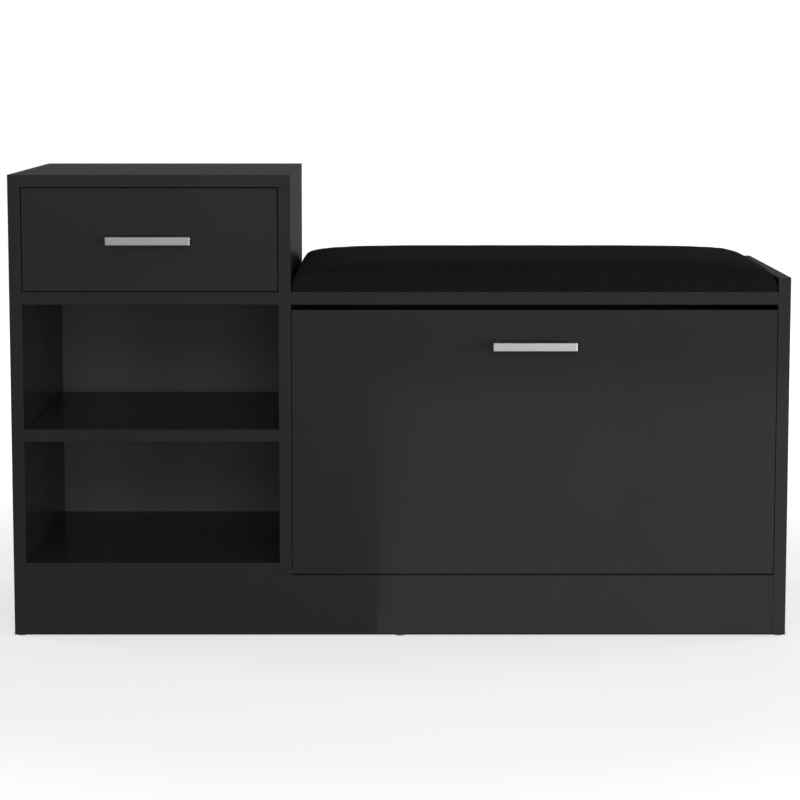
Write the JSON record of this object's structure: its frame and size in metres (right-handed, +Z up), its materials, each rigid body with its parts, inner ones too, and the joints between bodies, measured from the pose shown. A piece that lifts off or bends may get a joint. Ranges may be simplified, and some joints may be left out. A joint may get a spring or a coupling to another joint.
{
  "type": "entryway storage bench",
  "caption": "Low black storage bench: drawer tower over open cubbies at one side, cushioned seat over a tilt-out shoe flap at the other.",
  "frame": {"origin": "on the floor, at the bottom centre of the bounding box, handles included", "axes": "+Z up, +X to the right seen from the front along the width, the front faces -Y"},
  "size_m": [1.005, 0.376, 0.602],
  "materials": {
    "laminate": "particle board with a smooth satin black laminate and matching edge banding",
    "hardboard": "hardboard with a black painted face",
    "bare_board": "bare particle board",
    "beech": "plain beech",
    "zinc_cast": "bare zinc casting",
    "zinc_steel": "bright zinc plate",
    "rail_steel": "light epoxy coat on steel",
    "satin_nickel": "satin silver",
    "nylon": "white nylon",
    "black_plastic": "fine-grained black plastic",
    "glide_plastic": "grey plastic",
    "foam": "open-cell foam",
    "upholstery": "fine close-woven black cloth"
  },
  "bodies": {
    "carcass": {"left_side_panel": "laminate", "divider_panel": "laminate", "right_side_panel": "laminate", "tower_top": "laminate", "drawer_deck": "laminate", "cubby_shelf": "laminate", "tower_bottom": "laminate", "bench_bottom": "laminate", "seat_board": "laminate", "plinth": "laminate", "tower_back": "hardboard", "bench_back": "hardboard", "cam_locks": "zinc_cast", "cam_bolts": "zinc_steel", "dowels": "beech", "back_nails": "zinc_steel", "floor_glides": "glide_plastic", "pad_board": "bare_board", "pad_foam": "foam", "pad_cover": "upholstery", "pad_screws": "zinc_steel", "cabinet_rail_left": "rail_steel", "cabinet_rail_right": "rail_steel", "cabinet_rail_screws": "zinc_steel", "pivot_bushes": "black_plastic", "stop_pins": "black_plastic"},
    "drawer": {"drawer_front": "laminate", "drawer_side_left": "laminate", "drawer_side_right": "laminate", "drawer_rear": "laminate", "drawer_bottom": "hardboard", "drawer_cams": "zinc_cast", "drawer_cam_bolts": "zinc_steel", "drawer_box_screws": "zinc_steel", "drawer_handle": "satin_nickel", "drawer_handle_screws": "zinc_steel", "drawer_rail_left": "rail_steel", "drawer_rail_right": "rail_steel", "drawer_rail_screws": "zinc_steel"},
    "flap": {"flap_front": "laminate", "flap_handle": "satin_nickel", "flap_handle_screws": "zinc_steel", "rack_bracket_left": "black_plastic", "rack_bracket_right": "black_plastic", "front_tray_sole": "laminate", "front_tray_lip": "laminate", "rear_tray_sole": "laminate", "rear_tray_lip": "laminate", "rack_screws": "zinc_steel", "bracket_screws": "zinc_steel", "pivot_pins": "zinc_steel"},
    "front_roller_left": {"front_roller_left": "nylon"},
    "front_roller_right": {"front_roller_right": "nylon"},
    "rear_roller_left": {"rear_roller_left": "nylon"},
    "rear_roller_right": {"rear_roller_right": "nylon"}
  },
  "joints": [
    {"name": "drawer_slide", "type": "slide", "parent": "carcass", "child": "drawer", "axis": [0, -1, 0], "range_m": [0, 0.225]},
    {"name": "flap_hinge", "type": "hinge", "parent": "carcass", "child": "flap", "pos_m": [0, -0.154, 0.1055], "axis": [1, 0, 0], "range_deg": [0, 45]},
    {"name": "front_roller_left_turn", "type": "hinge", "parent": "carcass", "child": "front_roller_left", "pos_m": [-0.48, -0.132, 0.469], "axis": [1, 0, 0], "continuous": true},
    {"name": "front_roller_right_turn", "type": "hinge", "parent": "carcass", "child": "front_roller_right", "pos_m": [-0.163, -0.132, 0.469], "axis": [1, 0, 0], "continuous": true},
    {"name": "rear_roller_left_turn", "type": "hinge", "parent": "drawer", "child": "rear_roller_left", "pos_m": [-0.48, 0.142, 0.469], "axis": [1, 0, 0], "continuous": true},
    {"name": "rear_roller_right_turn", "type": "hinge", "parent": "drawer", "child": "rear_roller_right", "pos_m": [-0.163, 0.142, 0.469], "axis": [1, 0, 0], "continuous": true}
  ],
  "couplings": [
    {"joint": "front_roller_left_turn", "follows": "drawer_slide", "rad_per_m": 129.87},
    {"joint": "front_roller_right_turn", "follows": "drawer_slide", "rad_per_m": 129.87},
    {"joint": "rear_roller_left_turn", "follows": "drawer_slide", "rad_per_m": 129.87},
    {"joint": "rear_roller_right_turn", "follows": "drawer_slide", "rad_per_m": 129.87}
  ]
}
